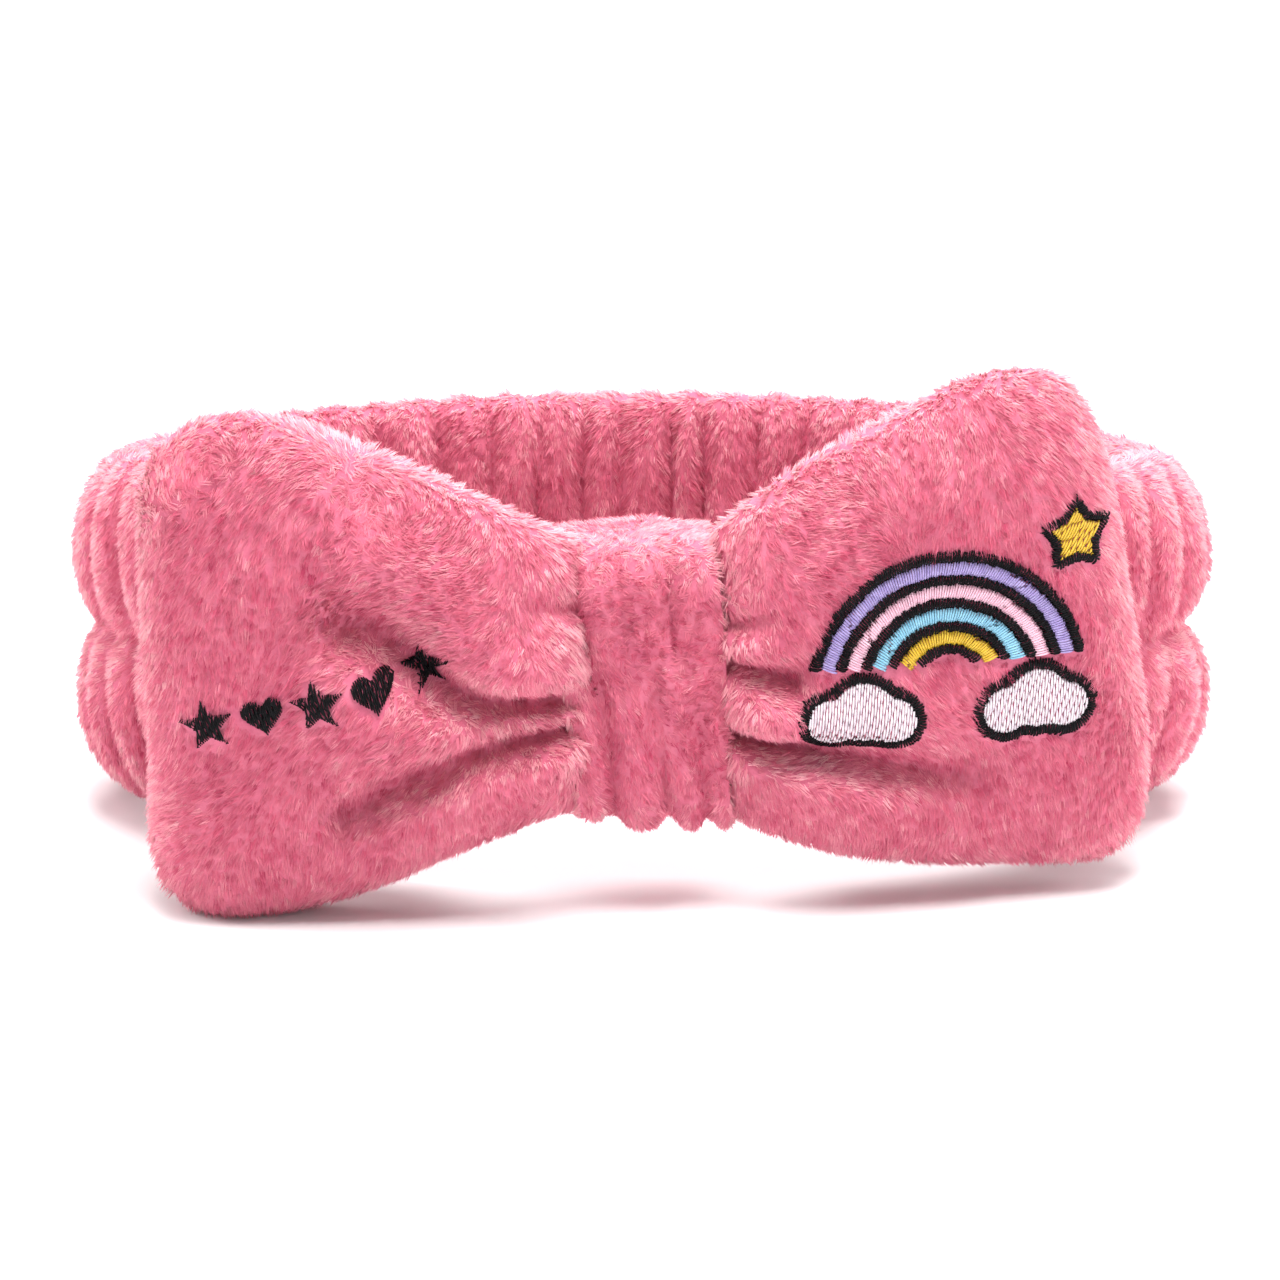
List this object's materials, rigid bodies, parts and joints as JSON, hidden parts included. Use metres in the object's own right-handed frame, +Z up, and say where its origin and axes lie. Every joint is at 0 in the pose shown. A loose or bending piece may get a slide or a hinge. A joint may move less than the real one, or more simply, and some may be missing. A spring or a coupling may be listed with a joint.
{
  "type": "spa headband",
  "caption": "Stretchy ruched fleece headband with a padded embroidered bow at the front, worn to hold hair back.",
  "frame": {"origin": "middle of the footprint's bounding box, on the surface that the headband stands on", "axes": "+X runs across the bow to its right-hand end as seen from in front, +Y points from the bow to the back of the loop, +Z is up"},
  "size_m": [0.2086, 0.1199, 0.095],
  "materials": {
    "fleece": "long fluffy pile",
    "fleece_back": "long fluffy pile",
    "wadding": "loose fibre",
    "elastic": "woven matt",
    "stabiliser": "non-woven matt",
    "thread_pink": "matt polyester thread",
    "thread_black": "satin embroidery thread",
    "thread_white": "satin embroidery thread",
    "thread_rose": "satin embroidery thread",
    "thread_blue": "satin embroidery thread",
    "thread_lavender": "satin embroidery thread",
    "thread_yellow": "satin embroidery thread"
  },
  "bodies": {
    "bow_front": {"front_band_sleeve": "fleece", "bow_centre_gather": "fleece", "knot_wrap": "fleece", "knot_closing_thread": "thread_pink", "ruched_sleeve_left": "fleece", "elastic_left": "elastic", "needle_thread_left": "thread_pink", "bobbin_thread_left": "thread_pink", "join_seam_left": "thread_pink", "elastic_tack_left": "thread_pink", "ruched_sleeve_right": "fleece", "elastic_right": "elastic", "needle_thread_right": "thread_pink", "bobbin_thread_right": "thread_pink", "join_seam_right": "thread_pink", "elastic_tack_right": "thread_pink"},
    "back_band": {"ruched_sleeve_back": "fleece", "elastic_back": "elastic", "needle_thread_back": "thread_pink", "bobbin_thread_back": "thread_pink"},
    "left_wing": {"left_wing_front_panel": "fleece", "left_wing_back_panel": "fleece_back", "left_wing_wadding": "wadding", "left_stabiliser": "stabiliser", "black_star_1": "thread_black", "black_heart_1": "thread_black", "black_star_2": "thread_black", "black_heart_2": "thread_black", "black_star_3": "thread_black"},
    "right_wing": {"right_wing_front_panel": "fleece", "right_wing_back_panel": "fleece_back", "right_wing_wadding": "wadding", "right_stabiliser": "stabiliser", "rainbow_lavender": "thread_lavender", "rainbow_rose": "thread_rose", "rainbow_blue": "thread_blue", "rainbow_yellow": "thread_yellow", "rainbow_edge_1": "thread_black", "rainbow_edge_2": "thread_black", "rainbow_edge_3": "thread_black", "rainbow_edge_4": "thread_black", "rainbow_edge_5": "thread_black", "left_cloud": "thread_white", "left_cloud_edge": "thread_black", "right_cloud": "thread_white", "right_cloud_edge": "thread_black", "small_star": "thread_yellow", "small_star_edge": "thread_black"}
  },
  "joints": [
    {"name": "band_stretch", "type": "slide", "parent": "bow_front", "child": "back_band", "axis": [0, 1, 0], "range_m": [0, 0.05], "stiffness_N_per_m": 70, "deforming": ["ruched_sleeve_left", "elastic_left", "needle_thread_left", "bobbin_thread_left", "ruched_sleeve_right", "elastic_right", "needle_thread_right", "bobbin_thread_right"]},
    {"name": "left_wing_flex", "type": "hinge", "parent": "bow_front", "child": "left_wing", "pos_m": [-0.01991, -0.04672, 0.04702], "axis": [0, 0, 1], "range_deg": [-12, 20], "stiffness_Nm_per_rad": 0.04},
    {"name": "right_wing_flex", "type": "hinge", "parent": "bow_front", "child": "right_wing", "pos_m": [0.02391, -0.04288, 0.04818], "axis": [0, 0, -1], "range_deg": [0, 20], "stiffness_Nm_per_rad": 0.04}
  ]
}
